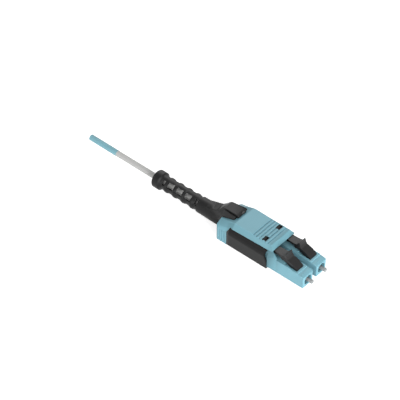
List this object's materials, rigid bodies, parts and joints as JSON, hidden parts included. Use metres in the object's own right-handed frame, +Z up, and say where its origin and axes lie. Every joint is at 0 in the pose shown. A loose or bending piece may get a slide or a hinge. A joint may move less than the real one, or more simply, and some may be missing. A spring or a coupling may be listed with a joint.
{
  "type": "fibre connector",
  "caption": "Duplex push-pull fibre connector in aqua and black, with a latticed pull boot and a short stub of round cable.",
  "frame": {"origin": "under the middle of the connector without its cable, on the surface it rests on", "axes": "+X along the connector towards the ferrule tips, +Y towards the left plug, +Z up, the side with the latches and the pull tab"},
  "size_m": [0.0919, 0.0126, 0.0098],
  "materials": {
    "aqua_plastic": "fine moulded satin",
    "black_plastic": "fine moulded satin",
    "soft_black_plastic": "soft matt",
    "white_ceramic": "ground and polished",
    "bright_steel": "plain turned",
    "coated_fibre": "smooth coating",
    "aramid_yarn": "loose strands",
    "white_tube": "smooth, slightly clear",
    "aqua_jacket": "smooth extruded"
  },
  "bodies": {
    "frame": {"body_base": "black_plastic", "body_lid": "black_plastic", "plug_housing_left": "aqua_plastic", "plug_housing_right": "aqua_plastic", "spring_stop_left": "black_plastic", "spring_stop_right": "black_plastic", "ferrule_spring_left": "bright_steel", "ferrule_spring_right": "bright_steel", "fibre_left": "coated_fibre", "fibre_right": "coated_fibre", "crimp_post": "bright_steel", "crimp_sleeve": "bright_steel", "strength_yarn": "aramid_yarn", "cable_inner_tube": "white_tube", "cable_jacket": "aqua_jacket"},
    "release_slider": {"release_cover": "aqua_plastic", "boot": "soft_black_plastic"},
    "latch_arm_left": {"latch_left": "black_plastic"},
    "latch_arm_right": {"latch_right": "black_plastic"},
    "floating_ferrule_left": {"ferrule_left": "white_ceramic", "ferrule_flange_left": "bright_steel"},
    "floating_ferrule_right": {"ferrule_right": "white_ceramic", "ferrule_flange_right": "bright_steel"}
  },
  "joints": [
    {"name": "release_slide", "type": "slide", "parent": "frame", "child": "release_slider", "axis": [-1, 0, 0], "range_m": [0, 0.0015], "stiffness_N_per_m": 1500, "springref_m": -0.0003},
    {"name": "latch_flex_left", "type": "hinge", "parent": "frame", "child": "latch_arm_left", "pos_m": [0.0265, 0.00313, 0.00522], "axis": [0, -1, 0], "range_deg": [0, 4.4], "stiffness_Nm_per_rad": 0.02},
    {"name": "latch_flex_right", "type": "hinge", "parent": "frame", "child": "latch_arm_right", "pos_m": [0.0265, -0.00313, 0.00522], "axis": [0, -1, 0], "range_deg": [0, 4.4], "stiffness_Nm_per_rad": 0.02},
    {"name": "ferrule_float_left", "type": "slide", "parent": "frame", "child": "floating_ferrule_left", "axis": [-1, 0, 0], "range_m": [0, 0.0008], "stiffness_N_per_m": 1000, "springref_m": -0.0015, "deforming": ["ferrule_spring_left"]},
    {"name": "ferrule_float_right", "type": "slide", "parent": "frame", "child": "floating_ferrule_right", "axis": [-1, 0, 0], "range_m": [0, 0.0008], "stiffness_N_per_m": 1000, "springref_m": -0.0015, "deforming": ["ferrule_spring_right"]}
  ],
  "couplings": [
    {"joint": "latch_flex_left", "follows": "release_slide", "rad_per_m": 51},
    {"joint": "latch_flex_right", "follows": "release_slide", "rad_per_m": 51}
  ]
}
